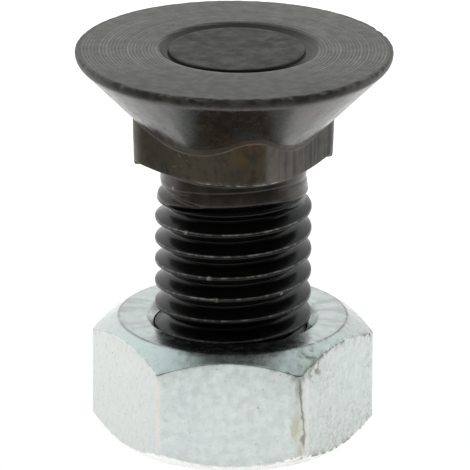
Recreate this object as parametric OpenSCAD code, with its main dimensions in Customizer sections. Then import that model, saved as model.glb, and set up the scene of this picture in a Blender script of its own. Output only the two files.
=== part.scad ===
// Plow bolt with a flat countersunk head and a square neck, standing on its hexagon nut.
// Millimetres. The origin is the centre of the nut's underside, and +Z runs along the bolt to its head.

/* [Bolt] */
// Length from the head's face to the bolt's end
bolt_length = 35; // [28:1:60]
// How far the bolt's end lies inside the nut's underside
end_recess = 0.8; // [0.2:0.1:4]

/* [Head] */
// Diameter of the head
head_d = 28; // [24:0.5:34]
// Height of the straight rim
rim_h = 0.8; // [0.3:0.1:2]
// Angle of the countersunk cone, from side to side
cone_angle = 90; // [80:1:110]
// Diameter of the disc in the middle of the head
disc_d = 12; // [8:0.5:18]
// Width of the ring groove round the disc, at the head's face
groove_w = 1.3; // [0.8:0.1:2.5]
// Width of the ring groove's floor
groove_floor_w = 0.45; // [0.2:0.05:0.75]
// Depth of the ring groove
groove_depth = 0.55; // [0.2:0.05:1.2]

/* [Square neck] */
// Width across the neck's flats
neck_w = 14; // [13.5:0.25:18]
// Radius of the neck's upright corners
neck_corner_r = 2.1; // [1:0.1:4]
// Height of the flats from the cone down to the neck's lower edge
neck_flat_h = 2.55; // [1.5:0.05:8]
// Rise of the neck's underside towards its corners, from level
neck_under_angle = 20; // [5:1:40]
// Turn of the neck's front corner about the bolt's axis, from -Y
neck_turn = 12.5; // [-45:0.5:45]

/* [Thread] */
// Outside diameter of the thread
thread_d = 13.9; // [13:0.1:15]
// Distance from one crest to the next
pitch = 2; // [1.25:0.25:2.5]
// Height of a crest above the bolt's end, on the +X side
crest_start = 0.46; // [0:0.02:1.2]
// Length over which the thread fades out towards the collar
runout_h = 2.4; // [1:0.1:6]
// Diameter of the plain collar under the neck
collar_d = 12.9; // [12.4:0.1:13.4]
// Length of the plain collar below the neck's flats
collar_h = 1.5; // [0.5:0.1:6]
// Diameter of the bolt's end inside its chamfer
end_d = 11; // [9:0.1:12]

/* [Nut] */
// Width across the nut's flats
nut_w = 22; // [20:0.5:26]
// Height of the nut
nut_h = 11; // [8:0.5:16]
// Radius of the nut's upright corners
nut_corner_r = 1.2; // [0.4:0.1:2.5]
// Diameter of the flat ring inside each chamfer
nut_face_d = 20.3; // [18:0.1:21.5]
// Fall of the chamfers towards the corners, from level
nut_chamfer_angle = 35; // [20:1:45]
// Diameter of the countersunk thread entry
entry_d = 15.4; // [14.6:0.1:17]
// Angle of the countersunk thread entry, from side to side
entry_angle = 90; // [60:5:120]
// Gap between the thread's crests and the nut's bore, on each side
thread_gap = 0.07; // [0.03:0.01:0.1]

/* [Hidden] */
$fn = 96;

// How far one solid runs into the next, and a cut runs past a face
bury = 0.8;

// Sides of the neck and of the nut, and steps in each half of a rounded corner
neck_sides = 4;
nut_sides = 6;
corner_steps = 5;

// Heights above the nut's underside
end_z = end_recess;
head_z = end_z + bolt_length;
rim_z = head_z - rim_h;
cone_slope = tan(cone_angle / 2);
flat_z = rim_z - (head_d - neck_w) / 2 / cone_slope;
neck_z = flat_z - neck_flat_h;
fade_z = neck_z - collar_h;

// Thread form: angle between flanks, crest and root as shares of the pitch, and the radii that follow
flank_angle = 60;
crest_share = 1 / 8;
root_share = 1 / 6;
thread_depth = pitch * (1 - crest_share - root_share) / 2 / tan(flank_angle / 2);
crest_r = thread_d / 2;
root_r = crest_r - thread_depth;
collar_r = collar_d / 2;

// Radius inside the collar at which the head's cone and the neck's underside end
core_r = collar_r - bury;
cone_end_z = rim_z - (head_d / 2 - core_r) / cone_slope;

// One pitch of the thread from a root upwards: height as a share of the pitch, and radius
crest_place = 1 / 2;
profile = [
    [-root_share / 2, root_r],
    [root_share / 2, root_r],
    [crest_place - crest_share / 2, crest_r],
    [crest_place + crest_share / 2, crest_r]
];
last = len(profile) - 1;

// The thread winds up from below the bolt's end into the collar, in steps of a turn
turn_steps = 36;
spare_turns = 2;
wind_z = end_z + crest_start - (spare_turns + crest_place) * pitch;
steps = turn_steps * (ceil((fade_z - wind_z) / pitch) + 1);
wind_base_z = wind_z - pitch;
wind_top_z = max(neck_z, wind_z + pitch * (steps / turn_steps + 1)) + bury;

// Share of the thread's depth at a height: all of it, fading to none at the collar
function thread_share(z) = min(1, max(0, (fade_z - z) / runout_h));

// Point of the winding at a step and a place in the profile
function turned(r, step, z) = [r * cos(360 * step / turn_steps), r * sin(360 * step / turn_steps), z];
function wound(step, place) =
    let (
        z = wind_z + pitch * (step / turn_steps + profile[place][0]),
        r = collar_r + thread_share(z) * (profile[place][1] - collar_r)
    )
    turned(r, step, z);

// Places of those points, and of the rings below and above them, in one list
function at(step, place) = step * len(profile) + place;
ring_start = at(steps + 1, 0);
function below(step) = ring_start + step % turn_steps;
function above(step) = ring_start + turn_steps + step % turn_steps;
function quad(a, b, c, d) = [[a, b, c], [a, c, d]];

// Threaded shank as one closed winding, from below the bolt's end to inside the neck
module winding() {
    first_top = steps - turn_steps;
    points = concat(
        [for (i = [0 : steps], k = [0 : last]) wound(i, k)],
        [for (i = [0 : turn_steps - 1]) turned(root_r, i, wind_base_z)],
        [for (i = [0 : turn_steps - 1]) turned(collar_r, i, wind_top_z)]
    );
    flanks = [
        for (i = [0 : steps - 1], k = [0 : last - 1])
            each quad(at(i, k), at(i, k + 1), at(i + 1, k + 1), at(i + 1, k))
    ];
    roots = [
        for (i = [0 : first_top - 1])
            each quad(at(i, last), at(i + turn_steps, 0), at(i + turn_steps + 1, 0), at(i + 1, last))
    ];
    skirt = [
        for (i = [0 : turn_steps - 2])
            each quad(below(i), at(i, 0), at(i + 1, 0), below(i + 1))
    ];
    skirt_seam = [below(turn_steps - 1), at(turn_steps - 1, 0), at(turn_steps, 0), at(0, 0), below(0)];
    start_face = concat([at(turn_steps, 0)], [for (k = [last : -1 : 0]) at(0, k)]);
    crown = [
        for (i = [first_top + 1 : steps - 1])
            each quad(at(i, last), above(i), above(i + 1), at(i + 1, last))
    ];
    crown_seam = concat(
        [at(first_top, last)],
        [for (k = [0 : last]) at(steps, k)],
        [above(steps), above(first_top + 1), at(first_top + 1, last)]
    );
    caps = [
        [for (i = [0 : turn_steps - 1]) below(i)],
        [for (i = [turn_steps - 1 : -1 : 0]) above(i)]
    ];
    polyhedron(points, concat(flanks, roots, skirt, [skirt_seam, start_face], crown, [crown_seam], caps));
}

// Room that the shank may fill: a chamfered end, and clear of the thread above it
module shank_room() {
    room_r = max(crest_r, collar_r) + bury;
    rotate_extrude()
        polygon([
            [0, end_z],
            [end_d / 2, end_z],
            [room_r, end_z + room_r - end_d / 2],
            [room_r, wind_top_z + bury],
            [0, wind_top_z + bury]
        ]);
}

// Turned head: face with its ring groove and disc, straight rim, and cone
module head() {
    disc_r = disc_d / 2;
    rotate_extrude()
        polygon([
            [0, head_z],
            [disc_r, head_z],
            [disc_r, head_z - groove_depth],
            [disc_r + groove_floor_w, head_z - groove_depth],
            [disc_r + groove_w, head_z],
            [head_d / 2, head_z],
            [head_d / 2, rim_z],
            [core_r, cone_end_z],
            [0, cone_end_z]
        ]);
}

// Outline of a regular shape with rounded corners and one flat towards -Y
module rounded_outline(sides, across, corner_r) {
    half_turn = 180 / sides;
    reach = (across / 2 - corner_r) / cos(half_turn);
    polygon([
        for (i = [0 : sides - 1], step = [-corner_steps : corner_steps])
            let (
                corner = -90 + half_turn * (2 * i + 1),
                a = corner + half_turn * step / corner_steps
            )
            [reach * cos(corner) + corner_r * cos(a), reach * sin(corner) + corner_r * sin(a)]
    ]);
}

// Square neck, with an underside that rises from the collar to the corners
module neck() {
    under_run = 1 / tan(neck_under_angle);
    core_z = neck_z - (neck_w / 2 - core_r) / under_run;
    half_turn = 180 / neck_sides;
    corner_reach = (neck_w / 2 - neck_corner_r) / cos(half_turn) + neck_corner_r;
    corner_z = rim_z - (head_d / 2 - corner_reach) / cone_slope;
    neck_h = corner_z + bury - core_z;
    intersection() {
        translate([0, 0, core_z])
            rotate(half_turn + neck_turn)
                linear_extrude(neck_h)
                    rounded_outline(neck_sides, neck_w, neck_corner_r);
        translate([0, 0, core_z])
            cylinder(h = neck_h, r1 = core_r, r2 = core_r + neck_h * under_run);
    }
}

module plow_bolt() {
    color("#3f3b37") {
        head();
        neck();
        intersection() {
            winding();
            shank_room();
        }
    }
}

// Hexagon nut: chamfered on both faces, with a plain bore that clears the thread's crests
module hex_nut() {
    bore_d = thread_d + 2 * thread_gap;
    entry_h = (entry_d - bore_d) / 2 / tan(entry_angle / 2);
    past_entry_d = entry_d + 2 * bury * tan(entry_angle / 2);
    chamfer_fall = tan(nut_chamfer_angle);
    outer_r = nut_w / 2 / cos(180 / nut_sides);
    drop = (outer_r - nut_face_d / 2) * chamfer_fall;
    color("#bcc6c9")
        difference() {
            intersection() {
                linear_extrude(nut_h)
                    rounded_outline(nut_sides, nut_w, nut_corner_r);
                rotate_extrude()
                    polygon([
                        [0, 0],
                        [nut_face_d / 2, 0],
                        [outer_r, drop],
                        [outer_r, nut_h - drop],
                        [nut_face_d / 2, nut_h],
                        [0, nut_h]
                    ]);
            }
            translate([0, 0, -bury])
                cylinder(h = nut_h + 2 * bury, d = bore_d);
            translate([0, 0, nut_h - entry_h])
                cylinder(h = entry_h + bury, d1 = bore_d, d2 = past_entry_d);
            translate([0, 0, -bury])
                cylinder(h = entry_h + bury, d1 = past_entry_d, d2 = bore_d);
        }
}

plow_bolt();
hex_nut();
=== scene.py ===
"""Looks of the plow bolt and its nut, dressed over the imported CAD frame.

Sizes are in millimetres and angles in degrees unless a comment says otherwise. They are in the CAD frame:
the origin is the centre of the nut's underside, +Z runs up the bolt to its head, and -Y faces the camera.
"""

import math

import bmesh
import bpy
import numpy as np
from mathutils import Matrix, Vector, noise


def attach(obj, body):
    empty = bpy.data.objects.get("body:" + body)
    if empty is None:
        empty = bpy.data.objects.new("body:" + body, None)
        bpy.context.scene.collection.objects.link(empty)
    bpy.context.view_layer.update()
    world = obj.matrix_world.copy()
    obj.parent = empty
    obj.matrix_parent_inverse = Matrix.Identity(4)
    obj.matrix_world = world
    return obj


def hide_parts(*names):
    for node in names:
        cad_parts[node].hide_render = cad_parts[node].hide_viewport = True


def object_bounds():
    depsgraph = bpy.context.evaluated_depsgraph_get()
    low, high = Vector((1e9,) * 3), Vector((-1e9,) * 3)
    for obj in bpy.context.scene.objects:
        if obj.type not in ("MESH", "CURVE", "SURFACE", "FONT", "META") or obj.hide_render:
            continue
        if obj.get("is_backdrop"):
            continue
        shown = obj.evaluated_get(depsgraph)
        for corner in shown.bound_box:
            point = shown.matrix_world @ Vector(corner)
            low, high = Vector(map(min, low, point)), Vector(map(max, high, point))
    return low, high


MM = 0.001

# Head: a turned face, with a sunk disc and a ring groove that lie a little off the centre
HEAD_Z = 35.8
HEAD_R = 13.99
DISC_SHIFT = (0.2, 0.4)
GROOVE_SHIFT = (0.45, 0.7)
ROUND_AGAIN_R = 12.0
DISC_R = 6.0
DISC_SINK = 0.06
DISC_START = 0.4
DISC_STEP = 0.3
DISC_BORDER = 0.2
GROOVE_R = 7.3
FACE_SINK = 0.015
FACE_START = GROOVE_R + 0.2
FACE_END = HEAD_R - 0.3
TURNED_STEP = 0.078
TURNED_PITCH = 0.31
TURNED_DEPTH = 0.006

# Across the disc's edge, the groove and its lip: distance out from the disc's radius, and depth
DISC_EDGE = ((-0.22, 0.06), (-0.1, 0.07), (-0.04, 0.1))
GROOVE = ((0.0, 0.18), (0.02, 0.38), (0.06, 0.5), (0.16, 0.55), (0.4, 0.55), (0.55, 0.52))
LIP = ((0.75, 0.38), (0.92, 0.22), (1.02, 0.13), (1.1, 0.07), (1.18, 0.035), (1.28, 0.018))

# Rim and cone: the rim's height swings round the head
RIM_H = 0.8
RIM_Z = HEAD_Z - RIM_H
RIM_SWING = 0.06
RIM_HIGH_SIDE = -80.0
RIM_THIN = 0.14
RIM_FOOT = 0.42
CONE_SHARES = (0.05, 0.14, 0.25, 0.36, 0.48, 0.6, 0.71, 0.81, 0.9)

# Rim's upper edge: distance in and what a nick adds to it, depth and what a nick adds to it, and wear
RIM_EDGE = (
    (0.18, 0.15, FACE_SINK, 0.0, 0.0),
    (0.07, 0.25, FACE_SINK + 0.02, 0.12, 0.5),
    (0.02, 0.25, 0.08, 0.3, 0.3),
    (0.0, 0.15, 0.16, 0.2, 0.0),
)

# Nicks in the rim as depth, width, seed and height in the noise, and chips as place, spread and depth
RIM_NICKS = ((1.0, 0.8, 5, 9), (0.8, 0.45, 8, 4))
RIM_CHIPS = ((26.0, 1.1, 0.6), (19.5, 0.9, 0.5))
NICK_FROM = 0.05
NICK_MOST = 0.6
NICK_SIDES = (-12, 2)
NICK_SHARES = (1.0, 0.2)

# Unevenness: depth, width of its features, and seed. The drift of the turned rings is in radians
DISC_BUMPS = ((0.035, 1.5, 1), (0.03, 0.7, 2))
TURNED_DRIFT = (1.0, 6, 3)
RIM_BUMPS = (0.025, 1.6, 4)
CONE_DENTS = (0.02, 3.5, 6)
NECK_BUMPS = (0.012, 0.9, 7)
NECK_BUMP_STRETCH = 4
NOISE_STEP = (7.3, 3.1, 5.7)

# Square neck with a little draft, rounded edges and two burrs
NECK_SIDES = 4
NECK_W = 14.0
NECK_CORNER_R = 2.1
NECK_FLAT = -32.5
NECK_DRAFT = 0.03
NECK_Z = 25.45
NECK_UNDER = 17.0
CONE_FILLET = 0.14
NECK_EDGE = 0.14
NECK_SHARES = (0.15, 0.3, 0.45, 0.6, 0.75, 0.9)
UNDER_SHARES = (0.35, 0.7)
BURR_DROP = 0.4
BURR_SPREAD = 1.6
BURR_PLACES = (-168.0, 7.0)

# Collar with a faint ring, which the thread runs out into
COLLAR_R = 6.45
COLLAR_FILLET = 0.2
COLLAR_Z = 24.9
SWELL = 0.07
RING_GAP = 1.45
RING_DEPTH = 0.07
RING_W = 0.1

# Thread with its runout, and chamfered end
PITCH = 2.0
CREST_Z = 1.26
CREST_R = 6.95
CREST_HALF = 0.125
THREAD_DEPTH = 1.227
ROOT_R = CREST_R - THREAD_DEPTH
FLANK_RISE = math.tan(math.radians(60))
CREST_SOFT = 0.05
ROOT_SOFT = 0.14
FADE_HEIGHTS = (21.3, 22.3, 23.3, 24.3)
FADE_CRESTS = (6.95, 6.74, 6.55, 6.45)
FADE_SOFT = 0.02
FILL_Z = 22.25
FILL_TILT = 0.65
FILL_H = 0.7
END_R = 5.5
END_Z = 0.8
END_RADII = (END_R, END_R - 0.15, END_R / 2)

# Groove at the slanting line where the thread stops, deepest on its high side and faint on the right
STOP_Z = 22.25
STOP_SLANT = 0.9
STOP_HIGH_SIDE = -62.0
STOP_DEPTH = 0.5
STOP_W = 0.14
STOP_SHARE = 0.25
STOP_GAIN = 2.5
STOP_FADE_WAYS = (0.35, 0.8)
STOP_FADE_SHARES = (1.0, 0.2)

# Nut: rounded hexagon, chamfers, countersunk entries and inner thread
NUT_SIDES = 6
NUT_W = 22.0
NUT_H = 11.0
NUT_CORNERS = (1.1, 1.4, 1.2, 1.2, 1.4, 0.5)
NUT_FACE_R = 10.15
NUT_FACE_IN = 0.12
NUT_FACE_OUT = 0.1
NUT_FACE_DROP = 0.07
NUT_FALL = math.tan(math.radians(35))
NUT_EDGE = 0.02
CORNER_WEAR = 0.05
CORNER_WEAR_FROM = 12.0
CORNER_WEAR_OVER = 0.5
ENTRY_R = 7.7
NUT_FACE_RADII = (ENTRY_R, ENTRY_R + 0.1, 8.5, 9.3)
NUT_MINOR_R = 5.95
NUT_MAJOR_R = 7.02
NUT_ROOT_HALF = 0.2
CHAMFER_SHARES = (0.3, 0.6, 0.85)
CHAMFER_WEAR = 0.3
FLAT_SHARES = (0.04, 0.15, 0.4, 0.7, 1.0)
FLAT_WEAR = 0.5
FLAT_WEAR_FALL = 3

# Rounded corners of the profiles: shares of the way round, and the wear at each, which at the rim's foot is a
# painted highlight
RIM_FOOT_BEND = ((0, 0.0), (0.3, 0.2), (0.5, 0.8), (0.7, 0.5), (1, 0.1))
CONE_BEND = ((0, 0.0), (0.25, 0.5), (0.5, 0.8), (0.75, 0.5), (1, 0.0))
NECK_BEND = ((0, 0.2), (0.3, 1.0), (0.6, 1.0), (1, 0.3))
COLLAR_BEND = ((0, 0.0), (0.35, 0.0), (0.7, 0.0), (1, 0.0))
NUT_FACE_BEND = ((0, 0.2), (0.5, 0.8), (1, 0.3))
NUT_SHOULDER_BEND = ((0, 1.0), (0.25, 1.0), (0.5, 1.0), (0.75, 1.0), (1, 1.0))

# How finely the meshes are cut. The thread's rows are heights from a crest, with the wear at some of them
HEAD_COLUMNS = 384
SHANK_COLUMNS = 192
FLAT_COLUMNS = 22
CORNER_COLUMNS = 12
CREST_TO_ROOT = (0.0, 0.07, 0.13, 0.2, 0.4, 0.66, 0.83)
WORN_CREST = {0.07: 0.5, 0.13: 1.0}
WORN_R = CREST_R - 0.2
FINE_Z = 20.0
WELD = 0.0002

# Material places on the bolt and on the nut
FACE, DISC, FORGED, NECK, THREAD = range(5)
ZINC = 0

# Colours of the turned face, without alpha as all colours here, and the tint of its gloss
FACE_GROOVE = (0.016, 0.015, 0.013)
# Pale ridges of the turned rings, partly a painted reflection
FACE_RIDGE_SHEEN = (0.132, 0.127, 0.115)
FACE_SCALE = (0.02, 0.019, 0.017)
# Painted shade towards the front of the face
FACE_FRONT_SHADE = (0.009, 0.0082, 0.007)
FACE_PIT = (0.006, 0.0055, 0.005)
# Painted shade in the groove's lip
FACE_LIP_SHADE = (0.011, 0.0105, 0.0095)
FACE_TINT = (1.0, 0.95, 0.87)

# Colours of the stamped disc, and the tint of its gloss
DISC_DARK = (0.008, 0.008, 0.008)
DISC_PALE = (0.026, 0.0255, 0.024)
DISC_PIT = (0.003, 0.003, 0.003)
DISC_TINT = (0.96, 0.9, 0.84)

# Colours of the cone, rim and groove
CONE_GREY = (0.026, 0.0225, 0.0165)
CONE_BROWN = (0.038, 0.026, 0.0135)
CONE_SCALE = (0.01, 0.0085, 0.006)
CONE_SPECK = (0.07, 0.067, 0.06)
RIM_DARK = (0.016, 0.015, 0.0125)
RIM_PALE = (0.046, 0.042, 0.035)
# Worn rim edges, and the painted highlight along the rim's foot
RIM_WORN_AND_HIGHLIGHT = (0.09, 0.083, 0.072)
# Painted shade in the groove
GROOVE_PAINTED_SHADE = (0.004, 0.0038, 0.0033)

# Colours of the neck
NECK_DARK = (0.042, 0.036, 0.023)
NECK_PALE = (0.068, 0.055, 0.033)
NECK_SCALE = (0.02, 0.0175, 0.013)
NECK_SCORE = (0.006, 0.0056, 0.005)
NECK_RUBBED = (0.085, 0.072, 0.054)
NECK_RUST = (0.1, 0.058, 0.022)
NECK_DOT = (0.11, 0.1, 0.08)
NECK_CREASE = (0.15, 0.122, 0.085)
NECK_BURR = (0.42, 0.4, 0.36)
RUST_PLACE = (1.5, -8.6, 29.2)
BRIGHT_BURR_PLACE = (1.0, -7.2, 25.4)

# Colours of the thread and collar, and the places of painted highlights on the crests' edges
THREAD_BLACK = (0.0008, 0.001, 0.0009)
THREAD_BROWN = (0.002, 0.0018, 0.0014)
# Worn crests, and the painted highlights on the crests' edges
THREAD_WORN_AND_HIGHLIGHT = (0.22, 0.21, 0.19)
COLLAR_DARK = (0.018, 0.016, 0.012)
COLLAR_PALE = (0.04, 0.033, 0.023)
# Lighter right side of the collar, a painted reflection
COLLAR_RIGHT_SHEEN = (0.075, 0.072, 0.065)
THREAD_GLINT_PLACES = (
    (-4.03, -5.66, 20.68), (-5.25, -4.17, 22.05), (-5.2, -3.8, 24.1), (2.46, -6.0, 22.24),
    (-1.35, -6.82, 14.76), (-1.96, -6.67, 16.74), (4.47, -5.32, 14.9),
)

# Colours of the zinc plate
ZINC_DARK = (0.53, 0.585, 0.575)
ZINC_PALE = (0.6, 0.645, 0.63)
ZINC_BLOTCH = (0.51, 0.54, 0.53)
# Paler left side, a painted light
ZINC_LEFT_LIGHT = (0.645, 0.67, 0.65)
ZINC_FLECK = (0.46, 0.48, 0.465)
# Paler chamfers, a painted light
ZINC_CHAMFER_LIGHT = (0.71, 0.77, 0.76)
ZINC_SPOKE = (0.36, 0.38, 0.38)
ZINC_LINE = (0.2, 0.21, 0.21)
ZINC_DOT = (0.38, 0.38, 0.37)
ZINC_SHADE = (0.31, 0.335, 0.325)
# Near white lower chamfer, a painted reflection of the floor
ZINC_FOOT_LIGHT = (0.93, 0.93, 0.91)
ZINC_CORNER = (0.7, 0.675, 0.64)

# Colours of dirt and stains on the zinc, and corners where stains, pale lines and painted shade lie
SMUDGE = (0.36, 0.34, 0.29)
DIRT = (0.2, 0.185, 0.155)
STAIN_YELLOW = (0.43, 0.395, 0.22)
STAIN_BROWN = (0.17, 0.145, 0.1)
SHADED_CORNER = (6.1, -10.9)
STAINED_CORNER = (6.3, -10.8)
LEFT_CORNER = (-6.31, -10.93)
RIGHT_OF_STAIN = (7.0, -10.25)

# Spots of dirt: place, radius of the dense part, radius of the whole, density and colour
DIRT_SPOTS = (
    ((7.2, -8.9, 9.8), 0.7, 2.4, 0.9, DIRT),
    ((-3.8, -9.8, 10.75), 0.5, 2.2, 0.4, (0.22, 0.235, 0.225)),
    ((3.6, -9.9, 10.6), 0.4, 2.0, 0.4, (0.24, 0.23, 0.2)),
)

# Floor: its size in metres, where metal sees it end in front, and where the camera sees through it
FLOOR_SIZE = 3.0
FLOOR_GREY = (0.45, 0.45, 0.45)
FLOOR_DARK = (0.08, 0.08, 0.08)
FLOOR_GLOW = 0.75
FLOOR_DARK_GLOW = 0.05
FLOOR_END = (40.0, 54.0)
FLOOR_END_Y = (10.0, -12.0)
FLOOR_CLEAR = (70.0, 35.0)
FLOOR_ALPHA = 0.35

# Studio as metal sees it: ranges of a direction's parts along +Y and +Z, and the level at each one's end
OPEN_FRONT = (0.05, -0.4)
OPEN_LEVEL = 0.1
OVERHEAD = (0.65, 1.0)
OVERHEAD_LEVEL = 0.75
COOL_ABOVE = (0.3, 0.8)
WHITE = (1, 1, 1)
COOL_WHITE = (0.9, 1, 0.99)

# Level of the studio's light on everything else
PLAIN_LEVEL = 0.7

# Lamps as name, place and size in metres, and watts, and the place that they face
LAMPS = (("lamp_left", (-0.5, -0.05, 0.42), 0.5, 1.6), ("lamp_right", (0.5, 0.0, 0.45), 0.5, 1.2))
LAMP_TARGET = (0, 0, 0.018)

# Camera: its place and reach in metres
CAMERA_PLACE = (0.0157, -0.6061, 0.2363)
CAMERA_PAN = 1.469
CAMERA_DOWN = 19.763
CAMERA_ROLL = 0.3
CAMERA_LENS = 557.4
CAMERA_SENSOR = 36.0
CAMERA_REACH = 10.0


def smooth_max(a, b, soft):
    """The larger of two numbers, with the change from one to the other rounded off."""
    return 0.5 * (a + b + np.sqrt((a - b) ** 2 + soft**2))


def smooth_min(a, b, soft):
    """The smaller of two numbers, with the change from one to the other rounded off."""
    return 0.5 * (a + b - np.sqrt((a - b) ** 2 + soft**2))


def wander(x, y, z, width, seed):
    """Smooth noise from about -1 to 1 at each point, with features about as wide as given."""
    shift = Vector(NOISE_STEP) * seed
    points = np.broadcast_arrays(x, y, z)
    return np.array([noise.noise(Vector(p) / width + shift) for p in zip(*points)])


def bumps(x, y, z, kind):
    """Unevenness at each point, of a kind that gives its depth, the width of its features, and its seed."""
    depth, width, seed = kind
    return depth * wander(x, y, z, width, seed)


def rounded_reach(angle, sides, across, corner_r):
    """Distance from the axis to a rounded regular shape with a flat towards angle 0, by angle in radians."""
    half = math.pi / sides
    centre = (across / 2 - corner_r) / math.cos(half)
    from_flat = (angle + half) % (2 * half) - half
    from_corner = half - np.abs(from_flat)
    arc_end = np.arctan2(corner_r * math.sin(half), centre + corner_r * math.cos(half))
    inside = np.maximum(corner_r**2 - (centre * np.sin(from_corner)) ** 2, 0)
    arc = centre * np.cos(from_corner) + np.sqrt(inside)
    return np.where(from_corner < arc_end, arc, across / 2 / np.cos(from_flat))


def from_place(angle, place):
    """Degrees between each angle in radians and a place in degrees, up to half a turn."""
    return np.degrees(np.abs((angle - math.radians(place) + math.pi) % (2 * math.pi) - math.pi))


def turn(columns):
    """Angles in radians of a number of columns round the axis."""
    return np.arange(columns) * 2 * math.pi / columns


class Skin:
    """Grows one closed mesh from rows of points that run anticlockwise round the axis."""

    def __init__(self):
        self.points = []
        self.edges = []
        self.faces = []
        self.finishes = []

    def row(self, x, y, z, edge=0.0):
        start = len(self.points)
        *places, edges = np.broadcast_arrays(x, y, z, edge)
        self.points.extend(zip(*places))
        self.edges.extend(edges)
        return np.arange(start, len(self.points))

    def ring(self, angle, r, z, edge=0.0):
        return self.row(r * np.cos(angle), r * np.sin(angle), z, edge)

    def add(self, faces, finish):
        self.faces.extend(faces)
        self.finishes.extend([finish] * len(faces))

    def rows(self, rows, finish, before=None):
        """Joins rows all the way round in order, after an earlier one if any, and returns the last."""
        for row in rows:
            if before is not None:
                faces = np.stack([before, row, np.roll(row, -1), np.roll(before, -1)], axis=1)
                self.add(faces.tolist(), finish)
            before = row
        return before

    def wind(self, rows, finish):
        """Joins rows in order whose ends meet other rows, as they do round a thread."""
        for first, second in zip(rows, rows[1:]):
            faces = np.stack([first[:-1], second[:-1], second[1:], first[1:]], axis=1)
            self.add(faces.tolist(), finish)

    def halve(self, fine, coarse, finish):
        """Joins a row to one with half as many points."""
        near, middle, far = fine[0::2], fine[1::2], np.roll(fine[0::2], -1)
        after = np.roll(coarse, -1)
        for corners in ((near, coarse, middle), (middle, coarse, after), (middle, after, far)):
            self.add(np.stack(corners, axis=1).tolist(), finish)

    def cap(self, row, x, y, z, upward, finish):
        """Closes a row with triangles to one point."""
        pole = len(self.points)
        self.points.append((x, y, z))
        self.edges.append(0.0)
        after = np.roll(row, -1)
        pairs = zip(row, after) if upward else zip(after, row)
        self.add([(pole, int(a), int(b)) for a, b in pairs], finish)

    def make(self, name, materials):
        """Welds the rows into a smooth mesh object in metres."""
        mesh = bpy.data.meshes.new(name)
        mesh.from_pydata((np.array(self.points) * MM).tolist(), [], self.faces)
        mesh.polygons.foreach_set("material_index", self.finishes)
        edge = mesh.attributes.new("edge", "FLOAT", "POINT")
        edge.data.foreach_set("value", self.edges)
        for material in materials:
            mesh.materials.append(material)
        bm = bmesh.new()
        bm.from_mesh(mesh)
        bmesh.ops.remove_doubles(bm, verts=bm.verts, dist=WELD * MM)
        bm.to_mesh(mesh)
        bm.free()
        mesh.polygons.foreach_set("use_smooth", [True] * len(mesh.polygons))
        piece = bpy.data.objects.new(name, mesh)
        bpy.context.scene.collection.objects.link(piece)
        return piece


def bend(start, corner, end, stops):
    """Points (r, z, wear) along a rounded corner, from stops that give a share of the way and the wear."""
    for t, wear in stops:
        r, z = ((1 - t) ** 2 * a + 2 * t * (1 - t) * b + t**2 * c for a, b, c in zip(start, corner, end))
        yield r, z, wear


def from_crest(angle, z):
    """Height from the nearest crest of the bolt's thread, up or down."""
    turns = (z - CREST_Z) / PITCH - angle / (2 * math.pi)
    return np.abs((turns + 0.5) % 1 - 0.5) * PITCH


def bolt_thread_r(angle, z):
    """Radius of the shank: a thread that stops at a slanting line under the collar, and a chamfered end."""
    fall = smooth_max(FLANK_RISE * (from_crest(angle, z) - CREST_HALF), 0, CREST_SOFT)
    thread_r = CREST_R - smooth_min(fall, THREAD_DEPTH, ROOT_SOFT)
    thread_r = smooth_min(thread_r, np.interp(z, FADE_HEIGHTS, FADE_CRESTS), FADE_SOFT)
    filled = np.clip((z - FILL_Z + FILL_TILT * np.cos(angle)) / FILL_H, 0, 1)
    slant = np.cos(angle - math.radians(STOP_HIGH_SIDE))
    above = z - STOP_Z - STOP_SLANT * slant
    swell = SWELL * np.clip(1 - ((2 * above - RING_GAP) / RING_GAP) ** 2, 0, 1)
    thread_r = np.maximum(thread_r, ROOT_R + filled * (COLLAR_R + swell - ROOT_R))
    stop = STOP_DEPTH * np.clip(STOP_SHARE + STOP_GAIN * slant, 0, 1) * np.exp(-((above / STOP_W) ** 2))
    stop = stop * np.interp(np.cos(angle), STOP_FADE_WAYS, STOP_FADE_SHARES)
    ring = RING_DEPTH * np.exp(-(((above - RING_GAP) / RING_W) ** 2))
    return np.minimum(np.maximum(thread_r - stop - ring, ROOT_R), END_R + z - END_Z)


def nut_thread_r(angle, z):
    """Radius of the nut's inner thread, cut by a countersunk entry at each end."""
    groove_r = NUT_MAJOR_R - FLANK_RISE * (from_crest(angle, z) - NUT_ROOT_HALF)
    thread_r = np.clip(groove_r, NUT_MINOR_R, NUT_MAJOR_R)
    return np.maximum(thread_r, ENTRY_R - np.minimum(z, NUT_H - z))


def thread_rows(angle, low, high, downward):
    """Rows that follow the thread between two levels: each one's height from its crest, and its heights."""
    steps = [-step for step in reversed(CREST_TO_ROOT[1:])] + [*CREST_TO_ROOT, PITCH / 2]
    fine_steps = sorted(steps + [(a + b) / 2 for a, b in zip(steps, steps[1:])])
    first = math.floor((low - CREST_Z) / PITCH) - 2
    last = math.ceil((high - CREST_Z) / PITCH)
    rows = []
    for crest in (CREST_Z + PITCH * number for number in range(first, last + 1)):
        rows += [(step, crest + step) for step in (fine_steps if crest > FINE_Z else steps)]
    for step, height in reversed(rows) if downward else rows:
        yield step, np.clip(height + PITCH * angle / (2 * math.pi), low, high)


def rim_nicks(angle):
    """Depth of the wear round the rim's upper edge, from 0 to the most that a nick may have."""
    x = HEAD_R * np.cos(angle)
    y = HEAD_R * np.sin(angle)
    nicks = 0
    for depth, width, seed, height in RIM_NICKS:
        nicks = nicks + depth * np.maximum(wander(x, y, height, width, seed) - NICK_FROM, 0)
    nicks = nicks * np.interp(y, NICK_SIDES, NICK_SHARES)
    for place, spread, depth in RIM_CHIPS:
        nicks = nicks + depth * np.exp(-((from_place(angle, place) / spread) ** 2))
    return np.minimum(nicks, NICK_MOST)


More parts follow.
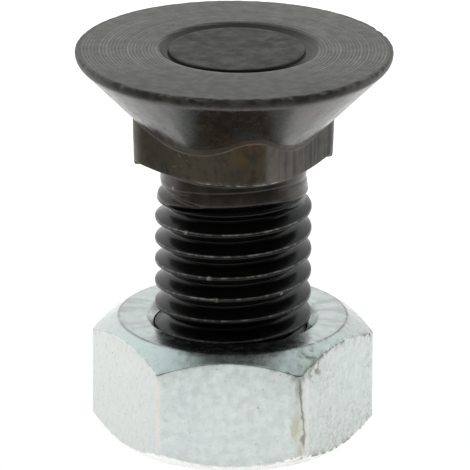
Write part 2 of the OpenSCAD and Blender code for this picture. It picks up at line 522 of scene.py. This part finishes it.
def grow_head(skin, angle):
    """Disc, groove, turned face and rim. Returns the last row, its radius, and how far the rim runs lower."""
    ways = (np.cos(angle), np.sin(angle))
    stops = (0, DISC_R, GROOVE_R, ROUND_AGAIN_R)

    def face_row(r, sink):
        places = []
        for way, disc_shift, groove_shift in zip(ways, DISC_SHIFT, GROOVE_SHIFT):
            places.append(np.interp(r, stops, (disc_shift, disc_shift, groove_shift, 0)) + r * way)
        return *places, HEAD_Z - sink

    def across(profile):
        return [skin.row(*face_row(DISC_R + out, sink)) for out, sink in profile]

    disc = []
    for r in np.arange(DISC_START, DISC_R - DISC_BORDER, DISC_STEP):
        x, y, z = face_row(r, DISC_SINK)
        for kind in DISC_BUMPS:
            z = z + bumps(x, y, 0, kind)
        disc.append(skin.row(x, y, z))
    skin.cap(disc[0], *DISC_SHIFT, HEAD_Z - DISC_SINK, True, DISC)
    last = skin.rows(disc + across(DISC_EDGE), DISC)
    last = skin.rows(across(GROOVE), FORGED, last)

    turned = across(LIP)
    for r in np.arange(FACE_START, FACE_END, TURNED_STEP):
        x, y, z = face_row(r, FACE_SINK)
        wave = np.sin(2 * math.pi * np.hypot(x, y) / TURNED_PITCH + bumps(x, y, 0, TURNED_DRIFT))
        turned.append(skin.row(x, y, z + TURNED_DEPTH * wave))
    last = skin.rows(turned, FACE, last)

    nick = rim_nicks(angle)
    rim = []
    for inset, nick_inset, sink, nick_sink, wear in RIM_EDGE:
        r = HEAD_R - inset - nick_inset * nick
        rim.append(skin.ring(angle, r, HEAD_Z - (sink + nick_sink * nick), wear))
    lower = RIM_SWING * np.cos(angle - math.radians(RIM_HIGH_SIDE)) - RIM_THIN * np.cos(angle) ** 2
    lower = lower + bumps(HEAD_R * ways[0], HEAD_R * ways[1], 0, RIM_BUMPS)
    foot = RIM_H + lower
    slant = RIM_FOOT / math.sqrt(2)
    foot_end = (HEAD_R - slant, foot + slant)
    for r, sink, wear in bend((HEAD_R, foot - RIM_FOOT), (HEAD_R, foot), foot_end, RIM_FOOT_BEND):
        rim.append(skin.ring(angle, r, HEAD_Z - sink, wear))
    return skin.rows(rim, FORGED, last), HEAD_R - slant, lower


def grow_neck(skin, angle, last, cone_top_r, lower):
    """Cone, square neck, its underside and the collar. Returns the last row."""
    ways = (np.cos(angle), np.sin(angle))
    reach = rounded_reach(angle - math.radians(NECK_FLAT), NECK_SIDES, NECK_W, NECK_CORNER_R)
    joint_z = RIM_Z - (HEAD_R - reach)
    slant = CONE_FILLET / math.sqrt(2)
    cone_end_r = reach + slant
    cone = []
    for share in CONE_SHARES:
        r = cone_top_r + share * (cone_end_r - cone_top_r)
        dent = bumps(r * ways[0], r * ways[1], 0, CONE_DENTS) * share * (1 - share) * 4
        cone.append(skin.ring(angle, r, RIM_Z - HEAD_R + r + dent - lower * (1 - share)))
    last = skin.rows(cone, FORGED, last)

    under = math.radians(NECK_UNDER)
    foot_z = NECK_Z + (reach - NECK_W / 2) * math.tan(under)
    for place in BURR_PLACES:
        foot_z = foot_z - BURR_DROP * np.exp(-((from_place(angle, place) / BURR_SPREAD) ** 2))
    foot_r = reach - NECK_DRAFT * (joint_z - foot_z)
    flat_top = (reach - NECK_DRAFT * CONE_FILLET, joint_z - CONE_FILLET)
    flat_end_z = foot_z + NECK_EDGE
    fillet = bend((cone_end_r, joint_z + slant), (reach, joint_z), flat_top, CONE_BEND)
    rows = [skin.ring(angle, *point) for point in fillet]
    for share in NECK_SHARES:
        z = flat_top[1] + share * (flat_end_z - flat_top[1])
        r = reach - NECK_DRAFT * (joint_z - z)
        bump = bumps(r * ways[0], r * ways[1], z / NECK_BUMP_STRETCH, NECK_BUMPS)
        rows.append(skin.ring(angle, r + bump, z))
    edge_start = (reach - NECK_DRAFT * (joint_z - flat_end_z), flat_end_z)
    edge_end = (foot_r - NECK_EDGE * math.cos(under), foot_z - NECK_EDGE * math.sin(under))
    rows += [skin.ring(angle, *point) for point in bend(edge_start, (foot_r, foot_z), edge_end, NECK_BEND)]

    collar_top_z = NECK_Z - (NECK_W / 2 - COLLAR_R) * math.tan(under)
    collar_start = (COLLAR_R + COLLAR_FILLET, collar_top_z + COLLAR_FILLET * math.tan(under))
    for share in UNDER_SHARES:
        r, z = (a + share * (b - a) for a, b in zip(edge_end, collar_start))
        rows.append(skin.ring(angle, r, z))
    collar_end = (COLLAR_R, collar_top_z - COLLAR_FILLET)
    collar = bend(collar_start, (COLLAR_R, collar_top_z), collar_end, COLLAR_BEND)
    rows += [skin.ring(angle, *point) for point in collar]
    return skin.rows(rows, NECK, last)


def make_bolt(materials):
    """The whole bolt as one closed skin, from the disc in its head down to its end."""
    skin = Skin()
    angle = turn(HEAD_COLUMNS)
    last, cone_top_r, lower = grow_head(skin, angle)
    last = grow_neck(skin, angle, last, cone_top_r, lower)
    shank_angle = turn(SHANK_COLUMNS)
    skin.halve(last, skin.ring(shank_angle, COLLAR_R, COLLAR_Z), THREAD)
    wound_angle = np.append(shank_angle, 2 * math.pi)
    wound = []
    for step, z in thread_rows(wound_angle, END_Z, COLLAR_Z, True):
        r = bolt_thread_r(wound_angle, z)
        worn = np.where(r > WORN_R, WORN_CREST.get(step, 0.0), 0.0)
        wound.append(skin.ring(wound_angle, r, z, worn))
    skin.wind(wound, THREAD)
    end = [skin.ring(shank_angle, r, END_Z) for r in END_RADII]
    skin.cap(skin.rows(end, THREAD), 0, 0, END_Z, False, THREAD)
    return skin.make("bolt_skin", materials)


def nut_outline():
    """Angles round the nut from the flat that faces -Y, close together at corners, and the reach at each."""
    half = math.pi / NUT_SIDES
    radii = np.array(NUT_CORNERS)
    centres = (NUT_W / 2 - radii) / math.cos(half)
    arc_ends = np.arctan2(radii * math.sin(half), centres + radii * math.cos(half))
    angles = []
    reaches = []
    for i, radius in enumerate(radii):
        corner = (2 * i + 1) * half
        flat_start = corner - 2 * half + arc_ends[i - 1]
        arc_start = corner - arc_ends[i]
        flat = np.linspace(flat_start, arc_start, FLAT_COLUMNS, endpoint=False)
        arc = np.linspace(arc_start, corner + arc_ends[i], CORNER_COLUMNS, endpoint=False)
        angles += [flat, arc]
        reaches += [NUT_W / 2 / np.cos(flat - corner + half), rounded_reach(arc, NUT_SIDES, NUT_W, radius)]
    return np.concatenate(angles) - math.pi / 2, np.concatenate(reaches)


def make_nut(materials):
    """The nut as one closed skin: down its outside from entry to entry, then up through the thread."""
    skin = Skin()
    angle, reach = nut_outline()
    shoulder_z = NUT_H - (reach - NUT_FACE_R) * NUT_FALL
    worn = np.clip((reach - CORNER_WEAR_FROM) / CORNER_WEAR_OVER, 0, 1)
    edge_r = NUT_EDGE + CORNER_WEAR * worn**2
    run = edge_r * math.cos(math.atan(NUT_FALL))
    chamfer_end = (reach - run, shoulder_z + run * NUT_FALL)
    flat_top = (reach, shoulder_z - edge_r)

    half_profile = [(r, NUT_H, 0.0) for r in NUT_FACE_RADII]
    chamfer_start = (NUT_FACE_R + NUT_FACE_OUT, NUT_H - NUT_FACE_DROP)
    half_profile += bend((NUT_FACE_R - NUT_FACE_IN, NUT_H), (NUT_FACE_R, NUT_H), chamfer_start, NUT_FACE_BEND)
    for share in CHAMFER_SHARES:
        r = NUT_FACE_R + NUT_FACE_OUT + share * (reach - run - NUT_FACE_R - NUT_FACE_OUT)
        half_profile.append((r, NUT_H - (r - NUT_FACE_R) * NUT_FALL, CHAMFER_WEAR * share))
    half_profile += bend(chamfer_end, (reach, shoulder_z), flat_top, NUT_SHOULDER_BEND)
    for share in FLAT_SHARES:
        z = shoulder_z - edge_r + share * (NUT_H / 2 - shoulder_z + edge_r)
        half_profile.append((reach, z, max(0.0, FLAT_WEAR - FLAT_WEAR_FALL * share)))
    upper = [skin.ring(angle, *point) for point in half_profile]
    lower = [skin.ring(angle, r, NUT_H - z, wear) for r, z, wear in reversed(half_profile[:-1])]
    skin.rows(upper + lower, ZINC)

    wound_angle = np.append(angle, angle[0] + 2 * math.pi)
    heights = [z for _, z in thread_rows(wound_angle, 0, NUT_H, False)]
    skin.wind([skin.ring(wound_angle, nut_thread_r(wound_angle, z), z) for z in heights], ZINC)
    return skin.make("nut_skin", materials)


class Nodes:
    """Short ways to add nodes to a tree."""

    def __init__(self, tree):
        self.tree = tree

    def add(self, kind, inputs=None, **settings):
        node = self.tree.nodes.new("ShaderNode" + kind)
        for key, value in settings.items():
            setattr(node, key, value)
        self.fill(node, inputs or {})
        return node

    def fill(self, node, inputs):
        for key, value in inputs.items():
            if isinstance(value, bpy.types.NodeSocket):
                self.tree.links.new(value, node.inputs[key])
            else:
                node.inputs[key].default_value = value

    def ramp(self, value, low, high, least=0.0, most=1.0):
        """Smooth change from one number to another as a value goes from low to high."""
        inputs = {"Value": value, "From Min": low, "From Max": high, "To Min": least, "To Max": most}
        return self.add("MapRange", inputs, interpolation_type="SMOOTHSTEP").outputs["Result"]

    def maths(self, operation, a, b=0.0):
        return self.add("Math", {0: a, 1: b}, operation=operation).outputs["Value"]

    def times(self, first, *others):
        for other in others:
            first = self.maths("MULTIPLY", first, other)
        return first

    def between(self, share, a, b):
        """Number between two others."""
        return self.add("Mix", {0: share, 2: a, 3: b}, data_type="FLOAT").outputs[0]

    def blend(self, share, a, b):
        """Colour between two others, each without its alpha where it is written out."""
        colours = {6: a, 7: b}
        inputs = {key: (*c, 1) if isinstance(c, tuple) else c for key, c in colours.items()}
        return self.add("Mix", {0: share, **inputs}, data_type="RGBA").outputs[2]

    def vector(self, operation, inputs, output="Vector"):
        return self.add("VectorMath", inputs, operation=operation).outputs[output]

    def parts(self, vector):
        return self.add("SeparateXYZ", {"Vector": vector}).outputs

    def joined(self, **parts):
        """Vector from its parts, which are 0 where they aren't given."""
        return self.add("CombineXYZ", parts).outputs["Vector"]


class Finish(Nodes):
    """A material's nodes, in object coordinates that match the CAD frame."""

    def __init__(self, name):
        self.material = bpy.data.materials.new(name)
        self.material.use_nodes = True
        super().__init__(self.material.node_tree)
        self.shader = self.tree.nodes["Principled BSDF"]
        self.place = self.add("TexCoord").outputs["Object"]
        self.x, self.y, self.z = self.parts(self.place)
        self.flat = self.joined(X=self.x, Y=self.y)
        self.r = self.vector("LENGTH", {0: self.flat}, "Value")

    def speckle(self, width, detail=3.0, place=None):
        """Noise from 0 to 1 with features about as wide as given."""
        inputs = {"Vector": place or self.place, "Scale": 0.5 / (width * MM), "Detail": detail}
        return self.add("TexNoise", inputs).outputs["Fac"]

    def spots(self, width, low, high, detail=3.0, least=0.0, most=1.0, place=None):
        """Such noise as a share, from the least where it is low to the most where it is high."""
        return self.ramp(self.speckle(width, detail, place), low, high, least, most)

    def stretched(self, along):
        """Object coordinates scaled so that noise runs in streaks along the bolt."""
        inputs = {"Vector": self.place, "Scale": (1.0, 1.0, along)}
        return self.add("Mapping", inputs).outputs["Vector"]

    def spoked(self, spread, along):
        """Coordinates in which noise runs in streaks out from the axis."""
        way = self.vector("NORMALIZE", {0: self.flat})
        wide = self.vector("SCALE", {0: way, "Scale": spread * MM})
        return self.vector("ADD", {0: wide, 1: self.joined(Z=self.times(self.r, along))})

    def over(self, value, low, high):
        """0 below one length in millimetres, rising to 1 at another, or falling where the first is larger."""
        return self.ramp(value, low * MM, high * MM)

    def away(self, vector, place):
        """Distance of each point from a place in millimetres."""
        return self.vector("DISTANCE", {0: vector, 1: [p * MM for p in place]}, "Value")

    def near(self, place, inner, outer):
        """1 close to a place in millimetres, falling to 0 further away."""
        return self.over(self.away(self.place, place), outer, inner)

    def beside(self, place, inner, outer):
        """1 close to an upright line through a place in millimetres, falling to 0 further away."""
        return self.over(self.away(self.flat, (*place, 0.0)), outer, inner)

    def edge(self):
        """Wear that the mesh carries along its edges, and a painted highlight along the rim's foot."""
        return self.add("Attribute", attribute_name="edge").outputs["Fac"]

    def bump(self, height, depth):
        return self.add("Bump", {"Height": height, "Distance": depth * MM}).outputs["Normal"]

    def dress(self, inputs):
        self.fill(self.shader, inputs)
        return self.material


def turned_steel():
    """Face of the head: turned rings under dark scale with pale ridges that are partly painted reflection,
    painted shade towards the front and in the groove's lip.
    """
    f = Finish("turned_steel")
    # Turned rings in the base colour: dark scale in the grooves, and pale ridges that are partly a painted
    # reflection of the rings
    wave = f.maths("ADD", f.times(f.r, 2 * math.pi / (TURNED_PITCH * MM)), f.speckle(5.0))
    rings = f.ramp(f.maths("SINE", wave), -1.0, 1.0)
    uneven = f.spots(0.25, 0.35, 0.65, least=0.3, place=f.joined(X=f.r))
    ring_scale_and_sheen = f.times(rings, uneven, f.spots(3.0, 0.3, 0.7, detail=2.0, least=0.6))
    base = f.blend(ring_scale_and_sheen, FACE_GROOVE, FACE_RIDGE_SHEEN)
    base = f.blend(f.spots(0.2, 0.4, 0.75, detail=2.0, most=0.5), base, FACE_SCALE)
    # Painted shade: the face darkens towards the front
    base = f.blend(f.times(f.over(f.y, -3.0, -12.0), 0.9), base, FACE_FRONT_SHADE)
    base = f.blend(f.spots(0.3, 0.68, 0.75, detail=2.0), base, FACE_PIT)
    # Painted shade in the groove's lip, below the turned face
    base = f.blend(f.over(f.z, 35.72, 35.6), base, FACE_LIP_SHADE)
    return f.dress({
        "Base Color": base,
        "IOR": 1.46,
        "Specular Tint": (*FACE_TINT, 1),
        "Roughness": f.spots(0.5, 0.3, 0.7, least=0.32, most=0.42),
        "Normal": f.bump(f.speckle(0.12, detail=2.0), 0.014),
    })


def stamped_steel():
    """Disc in the head: dull and mottled, with small pits."""
    f = Finish("stamped_steel")
    base = f.blend(f.spots(0.7, 0.35, 0.65, detail=4.0), DISC_DARK, DISC_PALE)
    base = f.blend(f.spots(0.25, 0.62, 0.7, detail=2.0), base, DISC_PIT)
    return f.dress({
        "Base Color": base,
        "IOR": 1.47,
        "Specular Tint": (*DISC_TINT, 1),
        "Roughness": f.spots(0.6, 0.3, 0.7, least=0.5, most=0.64),
        "Normal": f.bump(f.speckle(0.2), 0.035),
    })


def forged_steel():
    """Cone, rim and groove: glossy brown and grey cone, duller rim with worn edges and a painted highlight
    along its foot, and a groove darkened with painted shade.
    """
    f = Finish("forged_steel")
    base = f.blend(f.spots(2.6, 0.4, 0.65, detail=4.0), CONE_GREY, CONE_BROWN)
    base = f.blend(f.spots(0.3, 0.5, 0.75, most=0.6), base, CONE_SCALE)
    base = f.blend(f.spots(0.16, 0.64, 0.74, detail=2.0), base, CONE_SPECK)
    rim = f.over(f.z, 34.85, 35.05)
    rim_base = f.blend(f.spots(0.5, 0.35, 0.65, detail=5.0), RIM_DARK, RIM_PALE)
    # Painted shade: the groove inside the rim is darkened
    rim_base = f.blend(f.over(f.r, 11.0, 10.0), rim_base, GROOVE_PAINTED_SHADE)
    base = f.blend(rim, base, rim_base)
    # Worn edges round the rim's nicks, and a painted highlight along the rim's foot
    base = f.blend(f.times(f.edge(), f.spots(0.6, 0.46, 0.64, detail=4.0)), base, RIM_WORN_AND_HIGHLIGHT)
    return f.dress({
        "Base Color": base,
        "IOR": 1.5,
        "Roughness": f.between(rim, f.spots(0.4, 0.3, 0.7, detail=4.0, least=0.16, most=0.28), 0.45),
        "Normal": f.bump(f.speckle(0.2), 0.008),
    })


def drawn_steel():
    """Square neck: brown, with upright scores on the right, a rusty spot, and bright creases and burrs."""
    f = Finish("drawn_steel")
    base = f.blend(f.spots(1.2, 0.35, 0.65, detail=5.0), NECK_DARK, NECK_PALE)
    base = f.blend(f.spots(0.35, 0.5, 0.7, detail=4.0, most=0.6), base, NECK_SCALE)
    streak = f.speckle(0.22, place=f.stretched(0.03))
    right = f.over(f.x, 3.0, 6.0)
    base = f.blend(f.times(f.ramp(streak, 0.5, 0.6), f.between(right, 0.08, 0.95)), base, NECK_SCORE)
    base = f.blend(f.times(f.ramp(streak, 0.46, 0.36), f.between(right, 0.06, 0.7)), base, NECK_RUBBED)
    rust = f.times(f.near(RUST_PLACE, 0.2, 2.2), f.spots(0.6, 0.35, 0.6, detail=4.0))
    base = f.blend(rust, base, NECK_RUST)
    base = f.blend(f.spots(0.2, 0.68, 0.76, detail=2.0), base, NECK_DOT)
    crease = f.times(f.edge(), f.over(f.z, 26.6, 27.6), f.spots(1.5, 0.35, 0.6, detail=4.0))
    base = f.blend(crease, base, NECK_CREASE)
    burr = f.times(f.edge(), f.over(f.z, 26.6, 26.0), f.spots(0.5, 0.42, 0.58, detail=4.0))
    base = f.blend(f.times(burr, f.near(BRIGHT_BURR_PLACE, 2.6, 4.8)), base, NECK_BURR)
    return f.dress({
        "Base Color": base,
        "IOR": 1.4,
        "Roughness": f.spots(0.5, 0.3, 0.7, detail=4.0, least=0.34, most=0.48),
        "Normal": f.bump(streak, 0.008),
    })


def black_thread():
    """Thread and collar: black below the slanting stop, brown above it, with worn crests, painted highlights
    on the crests' edges, and a painted reflection on the collar's right.
    """
    f = Finish("black_thread")
    black = f.blend(f.spots(1.2, 0.35, 0.7, detail=4.0), THREAD_BLACK, THREAD_BROWN)
    collar = f.blend(f.spots(0.8, 0.35, 0.7, detail=4.0), COLLAR_DARK, COLLAR_PALE)
    # Painted reflection: the collar is lighter on its right side
    collar = f.blend(f.times(f.over(f.x, 3.0, 6.0), 0.6), collar, COLLAR_RIGHT_SHEEN)
    side = math.radians(STOP_HIGH_SIDE)
    lean = f.maths("ADD", f.times(f.x, math.cos(side)), f.times(f.y, math.sin(side)))
    stop_z = f.maths("ADD", f.times(f.maths("DIVIDE", lean, f.r), STOP_SLANT * MM), STOP_Z * MM)
    base = f.blend(f.over(f.maths("SUBTRACT", f.z, stop_z), 0.08, 0.2), black, collar)
    worn = f.times(f.edge(), f.spots(0.3, 0.42, 0.7, detail=6.0, least=0.25))
    worn = f.times(worn, f.between(f.over(f.z, 11.0, 15.0), 0.35, 1.0))
    # Painted highlights at spots on the crests' edges, in the worn crests' colour
    for place in THREAD_GLINT_PLACES:
        worn = f.maths("MAXIMUM", worn, f.times(f.near(place, 0.1, 0.32), f.spots(0.2, 0.35, 0.6)))
    base = f.blend(worn, base, THREAD_WORN_AND_HIGHLIGHT)
    return f.dress({
        "Base Color": base,
        "IOR": 1.35,
        "Roughness": f.spots(0.7, 0.3, 0.7, least=0.18, most=0.28),
        "Normal": f.bump(f.speckle(0.25), 0.004),
    })


def zinc_ground(f, chamfer_drop):
    """Clean zinc: fine mottling, with painted light on the left side and on the chamfers away from the right,
    and streaks out from the axis on the upper face.
    """
    base = f.blend(f.spots(0.3, 0.3, 0.7, detail=4.0), ZINC_DARK, ZINC_PALE)
    base = f.blend(f.spots(2.2, 0.5, 0.72, detail=4.0, most=0.25), base, ZINC_BLOTCH)
    # Painted light: the left side is made paler
    base = f.blend(f.times(f.over(f.x, -5.5, -7.5), f.over(f.z, 10.9, 9.8), 0.7), base, ZINC_LEFT_LIGHT)
    base = f.blend(f.spots(0.25, 0.55, 0.75, detail=5.0, most=0.5), base, ZINC_FLECK)
    # Painted light: the upper chamfers are made paler, most on the left
    chamfer = f.times(f.over(f.maths("ADD", f.z, chamfer_drop), 10.85, 10.96), f.over(f.r, 10.2, 10.35))
    base = f.blend(f.times(chamfer, f.over(f.x, 4.0, 0.0), 0.5), base, ZINC_CHAMFER_LIGHT)
    on_top = f.over(f.z, 10.85, 10.98)
    spokes = f.spots(0.7, 0.42, 0.66, place=f.spoked(9.0, 0.35))
    base = f.blend(f.times(spokes, on_top, 0.6), base, ZINC_SPOKE)
    face_line = f.times(f.over(f.r, 10.0, 10.1), f.over(f.r, 10.3, 10.2), on_top, f.spots(1.5, 0.3, 0.6))
    return f.blend(f.times(face_line, 0.7), base, ZINC_LINE)


def zinc_dirt(f, base):
    """Brown smudges on the right, small grey dots, and spots of dirt near the upper edges."""
    smudged = f.times(f.over(f.x, 5.8, 8.0), f.over(f.z, 10.9, 9.8), f.spots(2.0, 0.4, 0.6))
    base = f.blend(f.times(smudged, f.spots(0.18, 0.45, 0.68, detail=5.0), 0.6), base, SMUDGE)
    base = f.blend(f.spots(0.2, 0.7, 0.78, detail=2.0), base, ZINC_DOT)
    grains = f.spots(0.3, 0.42, 0.62, detail=6.0)
    for place, inner, outer, density, colour in DIRT_SPOTS:
        base = f.blend(f.times(f.near(place, inner, outer), grains, density), base, colour)
    return base


def zinc_edges(f, base, chamfer_drop):
    """Painted shade at the right corner, a foot made pale as painted reflection of the floor, pale corner
    lines, and dirt along the edges, most on the right.
    """
    shade = f.times(f.beside(SHADED_CORNER, 0.45, 0.9), f.over(f.z, 8.2, 9.2))
    shade_below = f.times(f.beside(SHADED_CORNER, 0.15, 0.5), f.over(f.z, 6.0, 8.2))
    shade = f.times(f.maths("MAXIMUM", shade, shade_below), f.over(f.z, 9.55, 9.4), 0.8)
    base = f.blend(shade, base, ZINC_SHADE)
    # Painted reflection: the lower chamfer is made near white in place of the floor's reflection
    foot = f.over(f.maths("SUBTRACT", f.z, chamfer_drop), 0.2, 0.04)
    base = f.blend(f.times(foot, 0.85), base, ZINC_FOOT_LIGHT)
    pale = f.maths("MAXIMUM", f.beside(LEFT_CORNER, 0.1, 0.45), f.beside(RIGHT_OF_STAIN, 0.1, 0.5))
    base = f.blend(f.times(pale, f.over(f.z, 9.4, 8.4), 0.6), base, ZINC_CORNER)
    dirty = f.between(f.over(f.x, 2.0, 7.0), 0.25, 1.0)
    return f.blend(f.times(f.edge(), f.spots(0.28, 0.44, 0.6, detail=6.0), dirty), base, DIRT)


def zinc_stains(f, base):
    """Yellow run and brown line down one corner."""
    runs = f.speckle(0.4, detail=5.0, place=f.stretched(0.25))
    sway = f.spots(1.4, 0.3, 0.7, detail=5.0, least=-0.35 * MM, most=0.35 * MM)
    x = f.maths("ADD", f.x, sway)
    at_corner = f.beside(STAINED_CORNER, 1.0, 1.3)
    yellow = f.times(f.over(x, 5.5, 5.8), f.over(x, 6.35, 6.1), f.ramp(runs, 0.46, 0.62))
    base = f.blend(f.times(yellow, f.over(f.z, 7.5, 4.5), at_corner, 0.65), base, STAIN_YELLOW)
    brown = f.times(f.over(x, 6.2, 6.38), f.over(x, 6.62, 6.44), f.ramp(runs, 0.36, 0.52))
    return f.blend(f.times(brown, at_corner, f.over(f.z, 9.4, 8.6), 0.75), base, STAIN_BROWN)


def zinc_plate():
    """Bright zinc of the nut, with dirt and stains."""
    f = Finish("zinc_plate")
    chamfer_drop = f.times(f.maths("SUBTRACT", f.r, NUT_FACE_R * MM), NUT_FALL)
    base = zinc_ground(f, chamfer_drop)
    base = zinc_dirt(f, base)
    base = zinc_edges(f, base, chamfer_drop)
    return f.dress({
        "Base Color": zinc_stains(f, base),
        "Metallic": 1.0,
        "Roughness": f.spots(0.4, 0.3, 0.7, detail=4.0, least=0.2, most=0.3),
        "Normal": f.bump(f.speckle(0.4), 0.002),
    })


def ray_kinds(nodes):
    """1 for rays straight from the camera, and 1 for rays that metal or glass sends on."""
    rays = nodes.add("LightPath").outputs
    return rays["Is Camera Ray"], nodes.maths("MAXIMUM", rays["Is Glossy Ray"], rays["Is Transmission Ray"])


def make_floor():
    """White floor that keeps the object's shadow, and that metal sees end a little way in front of the nut.

    Near the object it is translucent to the camera, so that the nut still shows when it is run off the bolt.
    """
    bpy.ops.mesh.primitive_plane_add(size=FLOOR_SIZE)
    floor = bpy.context.object
    floor.name = "studio_floor"
    f = Finish("studio_floor")
    straight, mirrored = ray_kinds(f)
    ended = f.times(mirrored, f.over(f.r, *FLOOR_END), f.over(f.y, *FLOOR_END_Y))
    glow = f.times(f.maths("MAXIMUM", straight, mirrored), f.between(ended, FLOOR_GLOW, FLOOR_DARK_GLOW))
    f.dress({
        "Base Color": f.blend(ended, FLOOR_GREY, FLOOR_DARK),
        "Roughness": 0.9,
        "Specular IOR Level": 0.0,
        "Emission Color": (*WHITE, 1),
        "Emission Strength": glow,
        "Alpha": f.between(f.times(straight, f.over(f.r, *FLOOR_CLEAR)), 1.0, FLOOR_ALPHA),
    })
    floor.data.materials.append(f.material)
    floor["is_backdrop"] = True


def make_world():
    """White studio, open and darker on the camera's side and a little darker overhead."""
    world = bpy.data.worlds.new("studio")
    bpy.context.scene.world = world
    world.use_nodes = True
    w = Nodes(world.node_tree)
    _, forward, up = w.parts(w.add("TexCoord").outputs["Generated"])
    front = w.ramp(forward, *OPEN_FRONT, 1.0, OPEN_LEVEL)
    studio = w.times(front, w.ramp(up, *OVERHEAD, 1.0, OVERHEAD_LEVEL))
    straight, mirrored = ray_kinds(w)
    level = w.between(straight, w.between(mirrored, PLAIN_LEVEL, studio), 1.0)
    colour = w.blend(w.times(mirrored, w.ramp(up, *COOL_ABOVE)), WHITE, COOL_WHITE)
    w.fill(w.tree.nodes["Background"], {"Color": colour, "Strength": level})


def add_lamp(name, place, size, watts):
    """A soft square lamp that faces the middle of the bolt."""
    lamp = bpy.data.lights.new(name, "AREA")
    lamp.size = size
    lamp.energy = watts
    lamp_object = bpy.data.objects.new(name, lamp)
    lamp_object.location = place
    lamp_object.visible_glossy = False
    way = Vector(LAMP_TARGET) - Vector(place)
    lamp_object.rotation_euler = way.to_track_quat("-Z", "Y").to_euler()
    bpy.context.scene.collection.objects.link(lamp_object)


def add_camera():
    """The camera of the photograph: far off, a little to the right, looking down at the bolt."""
    camera = bpy.data.cameras.new("photo_camera")
    camera.sensor_fit = "HORIZONTAL"
    camera.sensor_width = CAMERA_SENSOR
    camera.lens = CAMERA_LENS
    camera.clip_end = CAMERA_REACH
    pan = Matrix.Rotation(math.radians(CAMERA_PAN), 3, "Z")
    tilt = Matrix.Rotation(math.radians(90 - CAMERA_DOWN), 3, "X")
    roll = Matrix.Rotation(math.radians(CAMERA_ROLL), 3, "Z")
    camera_object = bpy.data.objects.new("photo_camera", camera)
    camera_object.location = CAMERA_PLACE
    camera_object.rotation_euler = (pan @ tilt @ roll).to_euler()
    bpy.context.scene.collection.objects.link(camera_object)
    bpy.context.scene.camera = camera_object


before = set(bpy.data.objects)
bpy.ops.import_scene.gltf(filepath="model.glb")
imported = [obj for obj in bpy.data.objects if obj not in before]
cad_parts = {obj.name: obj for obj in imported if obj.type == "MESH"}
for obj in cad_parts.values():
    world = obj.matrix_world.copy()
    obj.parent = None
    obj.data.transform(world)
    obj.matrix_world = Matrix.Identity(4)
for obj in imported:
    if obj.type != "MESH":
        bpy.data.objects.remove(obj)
cad_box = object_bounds()
bpy.context.scene.view_settings.view_transform = "Standard"
add_camera()
make_floor()
make_world()
for lamp_values in LAMPS:
    add_lamp(*lamp_values)

bolt = make_bolt([turned_steel(), stamped_steel(), forged_steel(), drawn_steel(), black_thread()])
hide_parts("plow_bolt")
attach(bolt, "bolt")
nut = make_nut([zinc_plate()])
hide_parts("hex_nut")
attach(nut, "nut")

boxes = {"cad": cad_box, "visual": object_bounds()}
{key: [list(corner) for corner in box] for key, box in boxes.items()}
